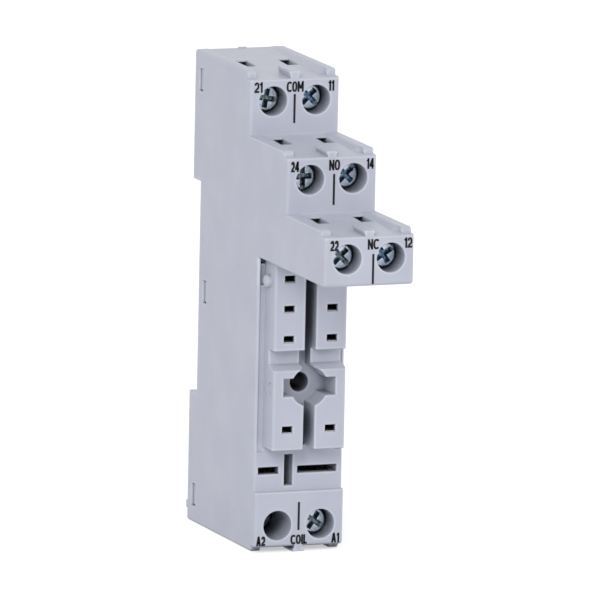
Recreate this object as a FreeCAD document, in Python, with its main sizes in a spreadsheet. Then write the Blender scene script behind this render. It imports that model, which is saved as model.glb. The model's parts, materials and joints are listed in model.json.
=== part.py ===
import FreeCAD, Part
import os
import re
import Sketcher

# Slim two-pole relay socket for a 35 mm rail: a stepped moulded housing with eight screw
# terminals, the clamps and contact strips inside it, a snapped-in rear cover and a rail clip.
#
# Frame: the origin is the middle of the rail seat, X across the socket (right positive),
# Y from the front to the back (the seat is Y = 0, the fronts are negative), Z up.
# Lengths are millimetres. Distances in front of the seat are kept as positive numbers.

SIZES = [
    ("width", 15.5, "overall width"),
    ("top_height", 39.3, "rail centre to the top end"),
    ("foot_depth", 39.5, "rail centre to the feet"),
    ("rear_reach", 3.4, "rail seat to the rear plane"),
    ("notch_half", 17.75, "half the height of the rail notch"),
    ("front_com", 22.2, "front plane of the top tier"),
    ("tier_step", 17.5, "how far each tier stands in front of the one above"),
    ("front_main", 27.1, "front plane of the main body"),
    ("front_block", 31.6, "front plane of the two contact blocks"),
    ("front_coil", 28.0, "front plane of the bottom tier"),
    ("channel_front", 29.2, "floor of the channel between the blocks"),
    ("bore_drop", 4.9, "top end to the top tier's screws"),
    ("bore_step", 10.17, "screws of one tier to the next"),
    ("foot_rise", 4.45, "feet to the bottom tier's screws"),
    ("pitch", 7.5, "left column to right column"),
    ("face_rise", 3.6, "screw axis to the front edge of the wire entry face"),
    ("face_climb", 0.82, "climb of the upper wire entry faces over one tier step"),
    ("coil_climb", 0.6, "the same for the bottom tier, whose face climbs downwards"),
    ("rim_rise", 1.0, "wire entry face to the side rims' crest"),
    ("rim_width", 1.65, "side rims across"),
    ("rim_back", 1.55, "front plane to the rims' front ends"),
    ("rim_round", 0.7, "rounding of the rims' front ends"),
    ("tail_root", 1.3, "dovetail rib at its root"),
    ("tail_tip", 2.05, "dovetail rib at its crest"),
    ("tail_length", 5.5, "dovetail rib from front to back"),
    ("tier_under", 9.5, "height of the lowest upper tier's underside"),
    ("brow_rise", 5.6, "bottom tier's screws to its top edge"),
    ("wall", 1.35, "side walls"),
    ("front_wall", 1.5, "front walls"),
    ("slot_wall", 0.7, "walls round the contact forks in the blocks"),
    ("skin", 1.15, "tier underside and bottom walls"),
    ("edge_round", 0.45, "rounding of the outer edges"),
    ("nose_round", 0.6, "rounding of the tiers' lower front edges"),
    ("block_width", 12.58, "contact blocks across"),
    ("block_round", 0.3, "rounding of the blocks' upright edges"),
    ("upper_end", 5.4, "depth of the upper block's lower end"),
    ("lower_start", 8.15, "depth of the lower block's upper end"),
    ("lower_end", 21.9, "depth of the lower block's lower end"),
    ("brow_drop", 0.5, "chamfer on the lower block, upright"),
    ("brow_back", 1.3, "chamfer on the lower block, front to back"),
    ("groove_width", 2.0, "groove between the block columns"),
    ("recess_deep", 4.9, "groove and central recess"),
    ("recess_radius", 3.22, "round part of the central recess"),
    ("recess_wide", 9.1, "side notches of the recess, tip to tip"),
    ("recess_tall", 3.0, "height of the side notches"),
    ("fixing_low", 11.5, "depth of the panel screw's axis"),
    ("fixing_radius", 1.625, "panel screw hole"),
    ("fixing_boss", 4.2, "half height of the solid stretch round that hole"),
    ("row_coil", 18.44, "depth of the coil blades"),
    ("row_far", 15.0, "coil blades to the first contact blades"),
    ("row_near", 5.0, "one row of contact blades to the next"),
    ("slot_wide", 1.85, "blade slots across"),
    ("slot_tall", 1.05, "blade slots, upright"),
    ("funnel", 0.18, "lead-in below each blade slot"),
    ("bore_radius", 2.45, "driver bores"),
    ("bore_wall", 0.95, "wall round the driver bores"),
    ("wire_back", 13.1, "front plane to the wire holes' middle"),
    ("wire_wide", 2.1, "wire holes across"),
    ("wire_long", 4.7, "wire holes, front to back"),
    ("wire_lip", 0.25, "lip of the entry face behind each wire hole"),
    ("undercut", 2.0, "room below that lip, front to back"),
    ("trough_wide", 0.95, "shallow troughs beside the blocks"),
    ("trough_deep", 0.15, "depth of those troughs"),
    ("notch_tall", 1.1, "notch at the top of each trough, upright"),
    ("notch_deep", 1.0, "depth of that notch"),
    ("pivot_radius", 1.05, "pivots for a retaining clip"),
    ("pivot_front", 28.9, "pivot axis in front of the seat"),
    ("pivot_height", 5.9, "pivot axis above the rail centre"),
    ("pivot_long", 0.9, "pivots, side of the block to their tips"),
    ("pivot_round", 0.5, "rounding of the pivots' tips"),
    ("pocket_tall", 4.6, "clearance pocket behind each pivot, with the notch"),
    ("pocket_deep", 0.4, "depth of that pocket"),
    ("dimple_radius", 1.0, "detent dimples in the lower block's sides"),
    ("dimple_deep", 0.15, "depth of the dimples"),
    ("dimple_front", 30.1, "dimples in front of the seat"),
    ("dimple_low", 11.8, "depth of the dimples below the rail centre"),
    ("module_low", 26.0, "depth of the module slots' axis"),
    ("module_tall", 1.2, "module slots, upright"),
    ("module_deep", 8.0, "depth of the module slots"),
    ("key_wide", 1.5, "keying slot across"),
    ("key_tall", 5.2, "keying slot, upright"),
    ("key_left", 1.7, "keying slot's axis, left of the middle"),
    ("left_slot_near", 3.4, "left module slot, edge nearest the middle"),
    ("left_slot_far", 7.0, "left module slot, outer edge"),
    ("right_slot_near", 0.15, "right module slot, edge nearest the middle"),
    ("right_slot_far", 6.75, "right module slot, outer edge"),
    ("clamp_wide", 5.2, "clamp boxes across and upright"),
    ("clamp_start", 10.2, "front plane to the clamp boxes"),
    ("clamp_nut", 0.8, "threaded front wall of a clamp box"),
    ("clamp_room", 6.7, "wire space of a clamp box, front to back"),
    ("clamp_sheet", 0.7, "side and rear walls of a clamp box"),
    ("clamp_gap", 0.05, "clearance round a clamp box"),
    ("screw_radius", 1.45, "shank of a terminal screw"),
    ("screw_gap", 0.05, "running clearance of the screws"),
    ("head_radius", 2.25, "screw head"),
    ("head_tall", 1.4, "thickness of the screw head"),
    ("head_bevel", 0.35, "sloping rim of the head's face"),
    ("head_edge", 0.25, "drop of that rim"),
    ("shank_long", 6.4, "head to pressure plate"),
    ("tip_bevel", 0.2, "chamfer at the shank's tip"),
    ("pivot_pin", 0.8, "pin that carries the pressure plate"),
    ("plate_thick", 0.6, "pressure plate"),
    ("tunnel", 0.18, "depth of the wire tunnel across a pressure plate"),
    ("plate_gap", 0.1, "pressure plate to the clamp's sides"),
    ("plate_slack", 0.03, "shank to pressure plate"),
    ("drive_wing", 1.6, "cross recess, middle to tip"),
    ("drive_wide", 0.92, "cross recess, width of a wing"),
    ("drive_deep", 1.15, "depth of the cross recess"),
    ("drive_draft", 8.0, "slope of the cross recess's walls, degrees"),
    ("drive_slot", 0.75, "straight slot across the head"),
    ("slot_deep", 0.45, "depth of the straight slot"),
    ("tongue", 0.5, "strip thickness inside the clamp"),
    ("tongue_wide", 3.6, "strip width inside the clamp"),
    ("web", 0.6, "thickness of the upright strips"),
    ("web_tall", 2.0, "width of the upright strips"),
    ("leaf", 0.35, "thickness of the contact leaves"),
    ("leaf_wide", 2.4, "contact leaves across"),
    ("leaf_throat", 0.2, "half gap between the leaves"),
    ("leaf_flare", 0.4, "how far each leaf opens at its mouth"),
    ("leaf_long", 5.3, "contact leaves, front to back"),
    ("leaf_root", 1.0, "half the spread of the leaves at their root"),
    ("throat_ahead", 4.0, "root of the leaves to their throat"),
    ("nest_gap", 0.15, "clearance beside the contact leaves"),
    ("leaf_back", 24.2, "rear face of the blade contacts"),
    ("cover_thick", 2.0, "rear cover"),
    ("cover_gap", 0.05, "clearance round the rear cover"),
    ("lip_drop", 1.25, "overlap of the fixed rail hook"),
    ("seat_half", 16.0, "half the height of the flat rail seat"),
    ("seat_relief", 0.3, "relief of the seat beyond its flat part"),
    ("rail_sheet", 1.3, "room for the rail's flange behind the seat"),
    ("hook_wide", 10.0, "fixed rail hook across"),
    ("catch_wide", 1.5, "snap catches, front to back"),
    ("catch_tall", 3.5, "snap catches, upright"),
    ("catch_arm", 1.0, "snap arms across"),
    ("catch_gap", 0.15, "window edge to catch"),
    ("catch_shy", 0.3, "catch tip below the side face"),
    ("catch_ahead", 0.15, "cover face to the catch windows"),
    ("catch_drop", 4.75, "top end to the upper windows' middle"),
    ("catch_rise", 4.6, "feet to the lower windows' middle"),
    ("catch_mid", 0.35, "depth of the middle windows' middle"),
    ("clip_wide", 8.8, "rail clip at its broad face"),
    ("clip_draw", 0.5, "how much each flank of the clip narrows"),
    ("clip_thick", 1.95, "rail clip"),
    ("clip_gap", 0.1, "clearance of the clip in its guide"),
    ("clip_nose", 16.3, "depth of the clip's nose"),
    ("clip_ramp", 1.9, "length of the nose's ramp"),
    ("nose_flat", 0.65, "flat part of the clip's nose, front to back"),
    ("tail_rise", 0.5, "feet to the clip's tail"),
    ("leg_wide", 1.5, "spring legs of the clip across"),
    ("leg_slit", 0.5, "slit inside each spring leg"),
    ("leg_margin", 6.0, "solid stretch at each end of the slits"),
    ("pry_wide", 4.0, "screwdriver slot in the clip's tail, across"),
    ("pry_tall", 1.2, "the same, upright, and its distance from the tail"),
    ("clip_travel", 3.0, "how far the clip is pulled down"),
    ("nub_reach", 0.6, "nubs behind the rear plane"),
    ("nub_tall", 1.2, "nubs, upright"),
    ("nub_rise", 2.6, "feet to the nubs"),
    ("gate_high", 0.15, "mould gate's mark above the top rear edge"),
    ("gate_wide", 1.3, "the same, across"),
    ("gate_right", 0.3, "the same, right of the middle"),
]

# How deep each screw head lies behind its front plane, and how far it is turned.
SCREWS = {
    "21": (3.45, 10.0),
    "11": (3.5, 44.0),
    "24": (3.6, 88.0),
    "14": (3.7, 135.0),
    "22": (3.3, 45.0),
    "12": (3.5, 148.0),
    "a2": (8.7, 15.0),
    "a1": (3.3, 33.0),
}

# Heights of the top and bottom screws above the rail centre.
BORE_TOP = "(top_height - bore_drop)"
BORE_LOW = "(foot_rise - foot_depth)"

# Terminals: name, side, tier. A tier gives its front plane, its screw height, the way to
# the wire entry (1 up, -1 down), its rim crest, the climb and the length of its wire entry
# face, and the row of blades that it serves.
TERMINALS = [
    ("21", -1, "com"),
    ("11", 1, "com"),
    ("24", -1, "no"),
    ("14", 1, "no"),
    ("22", -1, "nc"),
    ("12", 1, "nc"),
    ("a2", -1, "coil"),
    ("a1", 1, "coil"),
]
TIERS = {
    "com": {
        "front": "front_com",
        "bore": BORE_TOP,
        "up": 1,
        "crest": "top_height",
        "climb": "face_climb",
        "reach": "(front_com + rear_reach)",
        "row": "-row_coil + row_far + row_near",
    },
    "no": {
        "front": "(front_com + tier_step)",
        "bore": f"({BORE_TOP} - bore_step)",
        "up": 1,
        "crest": f"({BORE_TOP} - bore_step + face_rise + rim_rise)",
        "climb": "face_climb",
        "reach": "tier_step",
        "row": "-row_coil + row_far + 2 * row_near",
    },
    "nc": {
        "front": "(front_com + 2 * tier_step)",
        "bore": f"({BORE_TOP} - 2 * bore_step)",
        "up": 1,
        "crest": f"({BORE_TOP} - 2 * bore_step + face_rise + rim_rise)",
        "climb": "face_climb",
        "reach": "tier_step",
        "row": "-row_coil + row_far",
    },
    "coil": {
        "front": "front_coil",
        "bore": BORE_LOW,
        "up": -1,
        "crest": "(-foot_depth)",
        "climb": "coil_climb",
        "reach": "tier_step",
        "row": "-row_coil",
    },
}

doc = FreeCAD.newDocument("relay_socket")
sheet = doc.addObject("Spreadsheet::Sheet", "sizes")


def fill_sheet():
    """One row for each driving size: what it is, and its value under its own name."""
    rows = list(SIZES)
    for name, (depth, turn) in SCREWS.items():
        rows.append((f"depth_{name}", depth, f"front plane to the head of screw {name}"))
        rows.append((f"turn_{name}", turn, f"turn of screw {name}, degrees"))
    for row, (alias, number, meaning) in enumerate(rows, start=1):
        sheet.set(f"A{row}", meaning)
        sheet.set(f"B{row}", str(number))
        sheet.setAlias(f"B{row}", alias)
    doc.recompute()


def bound(text):
    """The same expression with each name turned into a reference to its cell."""
    return re.sub(r"[a-z_][a-z0-9_]*", lambda found: "sizes." + found.group(0), text)


def value(text):
    return float(sheet.evalExpression(bound(text)))


def sketch_on(body, role, offset="0"):
    """A sketch on one of the body's own origin planes, moved along that plane's normal."""
    sketch = body.newObject("Sketcher::SketchObject", "Sketch")
    plane = next(item for item in body.Origin.OriginFeatures if item.Role == role)
    sketch.AttachmentSupport = (plane, [""])
    sketch.MapMode = "FlatFace"
    sketch.setExpression("AttachmentOffset.Base.z", bound(offset))
    sketch.Visibility = False
    return sketch


def bind_point(sketch, geometry, end, across, upward):
    """Ties a point of the sketch to two expressions, its distances from the origin."""
    for kind, text in (("DistanceX", across), ("DistanceY", upward)):
        index = sketch.addConstraint(Sketcher.Constraint(kind, geometry, end, value(text)))
        sketch.setExpression(f"Constraints[{index}]", bound(text))


def polygon(sketch, points):
    """A closed outline whose corners are pairs of expressions."""
    first = sketch.GeometryCount
    corners = [FreeCAD.Vector(value(x), value(y), 0) for x, y in points]
    count = len(corners)
    lines = [Part.LineSegment(corners[i], corners[(i + 1) % count]) for i in range(count)]
    sketch.addGeometry(lines, False)
    joints = [
        Sketcher.Constraint("Coincident", first + i, 2, first + (i + 1) % count, 1)
        for i in range(count)
    ]
    sketch.addConstraint(joints)
    for i, (x, y) in enumerate(points):
        bind_point(sketch, first + i, 1, x, y)
    return sketch


def rectangle(sketch, left, right, low, high):
    return polygon(sketch, [(left, low), (right, low), (right, high), (left, high)])


def circle(sketch, across, upward, radius):
    centre = FreeCAD.Vector(value(across), value(upward), 0)
    normal = FreeCAD.Vector(0, 0, 1)
    index = sketch.addGeometry(Part.Circle(centre, normal, value(radius)), False)
    bind_point(sketch, index, 3, across, upward)
    limit = sketch.addConstraint(Sketcher.Constraint("Radius", index, value(radius)))
    sketch.setExpression(f"Constraints[{limit}]", bound(radius))
    return sketch


def new_body(name):
    body = doc.addObject("PartDesign::Body", name)
    body.Label = name
    return body


def settle(body, feature, grows):
    """Recomputes, and stops the build where the feature changed nothing."""
    before = settle.volumes.get(body.Name, 0.0)
    doc.recompute()
    after = feature.Shape.Volume
    if (after - before) * (1 if grows else -1) <= 1e-6:
        raise RuntimeError(f"{body.Label}: {feature.Name} changed nothing")
    settle.volumes[body.Name] = after
    return feature


settle.volumes = {}


def pad(body, sketch, length, middle=False, back=False):
    feature = body.newObject("PartDesign::Pad", "Pad")
    feature.Profile = sketch
    feature.setExpression("Length", bound(length))
    feature.SideType = "Symmetric" if middle else "One side"
    feature.Reversed = back
    return settle(body, feature, True)


def pocket(body, sketch, length, middle=False, back=False, taper="0"):
    feature = body.newObject("PartDesign::Pocket", "Pocket")
    feature.Profile = sketch
    feature.setExpression("Length", bound(length))
    feature.SideType = "Symmetric" if middle else "One side"
    feature.Reversed = back
    feature.setExpression("TaperAngle", bound(taper))
    return settle(body, feature, False)


def mirrored(body, features):
    """Repeats features on the other side of the middle plane."""
    feature = body.newObject("PartDesign::Mirrored", "Mirrored")
    feature.Originals = features
    plane = next(item for item in body.Origin.OriginFeatures if item.Role == "YZ_Plane")
    feature.MirrorPlane = (plane, [""])
    body.Tip = feature
    doc.recompute()
    settle.volumes[body.Name] = feature.Shape.Volume
    return feature


def edge_names(shape, wanted):
    return [f"Edge{i}" for i, edge in enumerate(shape.Edges, start=1) if wanted(edge)]


def rounded(body, wanted, radius):
    """Rounds those edges of the body for which wanted(edge) holds."""
    base = body.Tip
    names = edge_names(base.Shape, wanted)
    if not names:
        raise RuntimeError(f"{body.Label}: no edge to round")
    feature = body.newObject("PartDesign::Fillet", "Fillet")
    feature.Base = (base, names)
    feature.setExpression("Radius", bound(radius))
    doc.recompute()
    settle.volumes[body.Name] = feature.Shape.Volume
    return feature


def runs_along(edge, axis):
    """True for a straight edge along that axis: 0 for X, 1 for Y, 2 for Z."""
    if edge.Curve.TypeId != "Part::GeomLine":
        return False
    way = edge.tangentAt(edge.FirstParameter)
    return abs(abs((way.x, way.y, way.z)[axis]) - 1) < 1e-6


def near(edge, y, z):
    middle = edge.CenterOfMass
    return abs(middle.y - value(y)) < 0.01 and abs(middle.z - value(z)) < 0.01


def face_at(tier, behind="0"):
    """Height of a tier's sloping wire entry face, that far behind its front plane."""
    sign = "+" if tier["up"] > 0 else "-"
    climb = f"{tier['climb']} * ({behind}) / tier_step"
    return f"({tier['bore']} {sign} (face_rise + {climb}))"


def side_outline():
    """The stepped side view of the housing, from the top rear corner forwards and down."""
    com, no, nc = TIERS["com"], TIERS["no"], TIERS["nc"]
    points = [("rear_reach", "top_height")]
    for tier in (com, no, nc):
        front = tier["front"]
        if tier is not com:
            points.append((f"-{front} + tier_step", tier["crest"]))
        points.append((f"-{front} + rim_back", tier["crest"]))
        points.append((f"-{front} + rim_back", face_at(tier, "rim_back")))
        points.append((f"-{front}", face_at(tier)))
    points += [
        (f"-{nc['front']}", "tier_under"),
        ("-front_main", "tier_under"),
        ("-front_main", f"{BORE_LOW} + brow_rise"),
        ("-front_coil", f"{BORE_LOW} + brow_rise"),
        ("-front_coil", face_at(TIERS["coil"])),
        ("-front_coil + rim_back", face_at(TIERS["coil"], "rim_back")),
        ("-front_coil + rim_back", "-foot_depth"),
        ("rear_reach", "-foot_depth"),
        ("rear_reach", "-notch_half"),
        ("0", "-notch_half"),
        ("0", "notch_half"),
        ("rear_reach", "notch_half"),
    ]
    return points


def round_housing(body):
    """Rims' ends, the tiers' lower front edges, then both side outlines."""
    com, no, nc, coil = (TIERS[name] for name in ("com", "no", "nc", "coil"))
    ends = [(f"-{tier['front']} + rim_back", tier["crest"]) for tier in (com, no, nc, coil)]
    rounded(
        body,
        lambda edge: runs_along(edge, 0) and any(near(edge, y, z) for y, z in ends),
        "rim_round",
    )
    noses = [(f"-{nc['front']}", "tier_under"), ("-front_coil", face_at(coil))]
    rounded(
        body,
        lambda edge: runs_along(edge, 0) and any(near(edge, y, z) for y, z in noses),
        "nose_round",
    )
    half = value("width / 2")
    fronts = [value(f"-{tier['front']}") for tier in (com, no, nc, coil)]
    fronts.append(value("-front_main"))

    def outer_front(edge):
        middle = edge.CenterOfMass
        if abs(abs(middle.x) - half) > 0.01 or not runs_along(edge, 2):
            return False
        return any(abs(middle.y - front) < 0.01 for front in fronts)

    rounded(body, outer_front, "edge_round")
    top = value("top_height")
    low = value("-foot_depth")
    rear = value("rear_reach")

    def outer_rear(edge):
        middle = edge.CenterOfMass
        across = runs_along(edge, 0) and abs(middle.y - rear) < 0.01
        along = runs_along(edge, 1) and abs(abs(middle.x) - half) < 0.01 and middle.y > -25
        return (across or along) and (abs(middle.z - top) < 0.01 or abs(middle.z - low) < 0.01)

    rounded(body, outer_rear, "edge_round")


def add_blocks(body):
    """The two contact blocks, the channel between them, the groove and the recess."""
    profile = sketch_on(body, "YZ_Plane")
    polygon(
        profile,
        [
            ("-front_main + front_wall", "tier_under"),
            ("-front_block", "tier_under"),
            ("-front_block", "-upper_end"),
            ("-channel_front", "-upper_end"),
            ("-channel_front", "-lower_start + brow_drop / 2"),
            ("-front_block + brow_back", "-lower_start"),
            ("-front_block", "-lower_start - brow_drop"),
            ("-front_block", "-lower_end"),
            ("-front_main + front_wall", "-lower_end"),
        ],
    )
    pad(body, profile, "block_width", middle=True)
    half = value("block_width / 2")
    front = value("-front_block")

    def upright(edge):
        middle = edge.CenterOfMass
        on_side = abs(abs(middle.x) - half) < 0.01 and abs(middle.y - front) < 0.01
        return on_side and runs_along(edge, 2)

    rounded(body, upright, "block_round")
    groove = sketch_on(body, "XZ_Plane", "front_block")
    rectangle(groove, "-groove_width / 2", "groove_width / 2", "-lower_end", "tier_under")
    pocket(body, groove, "recess_deep")
    recess = sketch_on(body, "XZ_Plane", "front_block")
    circle(recess, "0", "-fixing_low", "recess_radius")
    pocket(body, recess, "recess_deep")
    notches = sketch_on(body, "XZ_Plane", "front_block")
    rectangle(
        notches,
        "-recess_wide / 2",
        "recess_wide / 2",
        "-fixing_low - recess_tall / 2",
        "-fixing_low + recess_tall / 2",
    )
    pocket(body, notches, "recess_deep")


def add_wire_faces(body):
    """Sunk wire entry faces between the side rims, each with its dovetail rib."""
    faces = sketch_on(body, "YZ_Plane")
    for tier in TIERS.values():
        front = tier["front"]
        beyond = f"{tier['crest']} {'+' if tier['up'] > 0 else '-'} rim_rise"
        corners = [
            (f"-{front} + rim_back / 2", face_at(tier, "rim_back / 2")),
            (f"-{front} + {tier['reach']}", face_at(tier, tier["reach"])),
            (f"-{front} + {tier['reach']}", beyond),
            (f"-{front} + rim_back / 2", beyond),
        ]
        polygon(faces, corners[:: tier["up"]])
    pocket(body, faces, "width - 2 * rim_width", middle=True)
    for tier in TIERS.values():
        sign = 1 if tier["up"] > 0 else -1
        rib = sketch_on(body, "XZ_Plane", f"{tier['front']}")
        root = f"{face_at(tier)} {'-' if sign > 0 else '+'} edge_round"
        polygon(
            rib,
            [
                ("-tail_root / 2", root),
                ("tail_root / 2", root),
                ("tail_root / 2", face_at(tier)),
                ("tail_tip / 2", tier["crest"]),
                ("-tail_tip / 2", tier["crest"]),
                ("-tail_root / 2", face_at(tier)),
            ][::sign],
        )
        pad(body, rib, "tail_length", back=True)


def cut_chambers(body):
    """A chamber for each column: it follows the stepped outline inside its walls, and
    leaves solid stretches round the driver bores and round the panel screw hole."""
    com, no, nc, coil = (TIERS[name] for name in ("com", "no", "nc", "coil"))
    ceiling = f"({com['bore']} + clamp_wide / 2 + clamp_gap)"
    bottom = f"({coil['bore']} - clamp_wide / 2 - clamp_gap)"
    inner = "-front_main + front_wall"
    upper = sketch_on(body, "YZ_Plane", "(pitch + clamp_wide) / 2 + clamp_gap")
    stepped = [("rear_reach + 1", ceiling)]
    height = ceiling
    for tier, below in ((com, no), (no, nc)):
        stem = f"-{tier['front']} + clamp_start - clamp_gap"
        foot = f"({tier['bore']} - bore_radius - bore_wall)"
        lower = f"({below['bore']} + clamp_wide / 2 + clamp_gap)"
        wall_face = f"-{tier['front']} + front_wall"
        stepped += [(stem, height), (stem, foot), (wall_face, foot), (wall_face, lower)]
        height = lower
    stem = f"-{nc['front']} + clamp_start - clamp_gap"
    stepped += [
        (stem, height),
        (stem, "tier_under + skin"),
        (inner, "tier_under + skin"),
        (inner, "-fixing_low + fixing_boss"),
        ("rear_reach + 1", "-fixing_low + fixing_boss"),
    ]
    polygon(upper, stepped)
    first = pocket(body, upper, "clamp_wide + 2 * clamp_gap")
    lower = sketch_on(body, "YZ_Plane", "(pitch + clamp_wide) / 2 + clamp_gap")
    stem = f"-{coil['front']} + clamp_start - clamp_gap"
    head = f"({coil['bore']} + bore_radius + bore_wall)"
    polygon(
        lower,
        [
            ("rear_reach + 1", "-fixing_low - fixing_boss"),
            (inner, "-fixing_low - fixing_boss"),
            (inner, head),
            (stem, head),
            (stem, bottom),
            ("rear_reach + 1", bottom),
        ],
    )
    second = pocket(body, lower, "clamp_wide + 2 * clamp_gap")
    nests = sketch_on(body, "YZ_Plane", "(pitch + leaf_wide) / 2 + nest_gap")
    face = "-front_block + slot_wall"
    rectangle(nests, face, inner, "-upper_end + slot_wall", "tier_under - slot_wall")
    rectangle(nests, face, inner, "-lower_end + slot_wall", "-fixing_low - fixing_boss")
    third = pocket(body, nests, "leaf_wide + 2 * nest_gap")
    mirrored(body, [first, second, third])


def cut_terminal_openings(body):
    """Driver bores in the fronts and wire holes in the entry faces."""
    for tier in TIERS.values():
        bores = sketch_on(body, "XZ_Plane", tier["front"])
        for side in ("-", ""):
            circle(bores, f"{side}pitch / 2", tier["bore"], "bore_radius")
        pocket(body, bores, "clamp_start")
        wires = sketch_on(body, "XY_Plane", tier["crest"])
        for side in ("-", ""):
            middle = f"{side}pitch / 2"
            rectangle(
                wires,
                f"{middle} - wire_wide / 2",
                f"{middle} + wire_wide / 2",
                f"-{tier['front']} + wire_back - wire_long / 2",
                f"-{tier['front']} + wire_back + wire_long / 2",
            )
        rise = f"{tier['crest']} - {tier['bore']}"
        depth = rise if tier["up"] > 0 else f"-({rise})"
        pocket(body, wires, depth, back=tier["up"] < 0)


def cut_wire_chutes(body):
    """Behind each wire hole the entry face is only a thin lip, and the chute below the lip
    leads down into the clamp."""
    chutes = sketch_on(body, "YZ_Plane", "(pitch + wire_wide) / 2")
    for tier in TIERS.values():
        plus, minus = ("+", "-") if tier["up"] > 0 else ("-", "+")
        edge = "wire_back + wire_long / 2"
        start = f"-{tier['front']} + {edge} - undercut"
        end = f"-{tier['front']} + {edge} + undercut"
        low = f"{tier['bore']} {plus} clamp_wide / 2"
        corners = [
            (start, low),
            (end, low),
            (end, f"{face_at(tier, f'{edge} + undercut')} {minus} wire_lip"),
            (start, f"{face_at(tier, f'{edge} - undercut')} {minus} wire_lip"),
        ]
        polygon(chutes, corners[:: tier["up"]])
    cut = pocket(body, chutes, "wire_wide")
    mirrored(body, [cut])


def cut_front_slots(body):
    """Blade slots with a lead-in below each, and the slots for a plug-in module."""
    rows = [TIERS[name]["row"] for name in ("coil", "nc", "com", "no")]
    slots = sketch_on(body, "XZ_Plane", "front_block")
    leads = sketch_on(body, "XZ_Plane", "front_block")
    for row in rows:
        for side in ("-", ""):
            left = f"{side}pitch / 2 - slot_wide / 2"
            right = f"{side}pitch / 2 + slot_wide / 2"
            rectangle(slots, left, right, f"{row} - slot_tall / 2", f"{row} + slot_tall / 2")
            rectangle(leads, left, right, f"{row} - slot_tall / 2 - funnel", row)
    pocket(body, slots, "front_wall")
    pocket(body, leads, "funnel")
    module = sketch_on(body, "XZ_Plane", "front_main")
    low = "-module_low - module_tall / 2"
    high = "-module_low + module_tall / 2"
    rectangle(module, "-left_slot_far", "-left_slot_near", low, high)
    rectangle(module, "-right_slot_near", "right_slot_far", low, high)
    rectangle(
        module,
        "-key_left - key_wide / 2",
        "-key_left + key_wide / 2",
        "-module_low - key_tall / 2",
        "-module_low + key_tall / 2",
    )
    pocket(body, module, "module_deep")


def add_clip_pivots(body):
    """Troughs beside the blocks, and in each a pivot for a relay retaining clip, with the
    dimple lower down that the clip's arm drops into."""
    near_x = "block_width / 2"
    far_x = "block_width / 2 + trough_wide"
    steps = [
        ("-lower_end - trough_wide", "trough_deep"),
        ("tier_under - pocket_tall", "pocket_deep"),
        ("tier_under - notch_tall", "notch_deep"),
    ]
    cuts = []
    for low, depth in steps:
        trough = sketch_on(body, "XZ_Plane", "front_main")
        rectangle(trough, near_x, far_x, low, "tier_under")
        cuts.append(pocket(body, trough, depth))
    dimple = sketch_on(body, "YZ_Plane", near_x)
    circle(dimple, "-dimple_front", "-dimple_low", "dimple_radius")
    cuts.append(pocket(body, dimple, "dimple_deep"))
    mirrored(body, cuts)
    for side in (1, -1):
        start = "block_width / 2 - edge_round"
        plane = start if side > 0 else f"-({start})"
        boss = sketch_on(body, "YZ_Plane", plane)
        circle(boss, "-pivot_front", "pivot_height", "pivot_radius")
        pad(body, boss, "pivot_long + edge_round", back=side < 0)
    tip = value("block_width / 2 + pivot_long")
    rounded(body, lambda edge: abs(abs(edge.CenterOfMass.x) - tip) < 0.01, "pivot_round")


def window_rows():
    """Front edge and middle height of the three snap windows on each side."""
    upper = "rear_reach - cover_thick - catch_ahead"
    middle = "-cover_thick - catch_ahead"
    high = "(top_height - catch_drop)"
    low = "(catch_rise - foot_depth)"
    return [(upper, high), (middle, "-catch_mid"), (upper, low)]


def cut_cover_seat(body):
    """Seat of the rear cover between the side walls, its snap windows, the clip's way out
    at the bottom, the panel screw hole, the small nubs, and the mark of the mould's gate."""
    seat = sketch_on(body, "YZ_Plane")
    polygon(seat, cover_outline("cover_gap"))
    pocket(body, seat, "pitch + clamp_wide + 2 * clamp_gap", middle=True)
    windows = sketch_on(body, "YZ_Plane", "width / 2")
    for front, middle in window_rows():
        half = "(catch_tall / 2 + catch_gap)"
        rear_edge = f"{front} + 2 * catch_gap"
        front_edge = f"{front} - catch_wide"
        rectangle(windows, front_edge, rear_edge, f"{middle} - {half}", f"{middle} + {half}")
    cut = pocket(body, windows, "wall + clamp_gap")
    mirrored(body, [cut])
    gate = sketch_on(body, "XY_Plane", "-foot_depth")
    rectangle(
        gate,
        "-clip_wide / 2 - clip_gap",
        "clip_wide / 2 + clip_gap",
        "rear_reach - clip_thick - 2 * clip_gap",
        "rear_reach",
    )
    pocket(body, gate, "foot_rise", back=True)
    hole = sketch_on(body, "XZ_Plane", "front_block")
    circle(hole, "0", "-fixing_low", "fixing_radius")
    pocket(body, hole, "front_block + rear_reach")
    nubs = sketch_on(body, "YZ_Plane", "width / 2")
    rectangle(
        nubs,
        "rear_reach - edge_round",
        "rear_reach + nub_reach",
        "nub_rise - foot_depth - nub_tall / 2",
        "nub_rise - foot_depth + nub_tall / 2",
    )
    nub = pad(body, nubs, "wall - edge_round", back=True)
    mirrored(body, [nub])
    com = TIERS["com"]
    edge = face_at(com, com["reach"])
    mark = sketch_on(body, "YZ_Plane", "gate_wide / 2 + gate_right")
    polygon(
        mark,
        [
            ("rear_reach", f"{edge} - edge_round"),
            ("rear_reach", f"{edge} + gate_high"),
            ("rear_reach - edge_round", f"{edge} + gate_high"),
            ("rear_reach - 2 * edge_round", f"{edge} - edge_round"),
        ],
    )
    pad(body, mark, "gate_wide", back=True)


def build_housing():
    body = new_body("housing")
    profile = polygon(sketch_on(body, "YZ_Plane"), side_outline())
    pad(body, profile, "width", middle=True)
    round_housing(body)
    add_blocks(body)
    add_wire_faces(body)
    cut_chambers(body)
    cut_terminal_openings(body)
    cut_wire_chutes(body)
    cut_front_slots(body)
    add_clip_pivots(body)
    cut_cover_seat(body)
    return body


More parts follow.
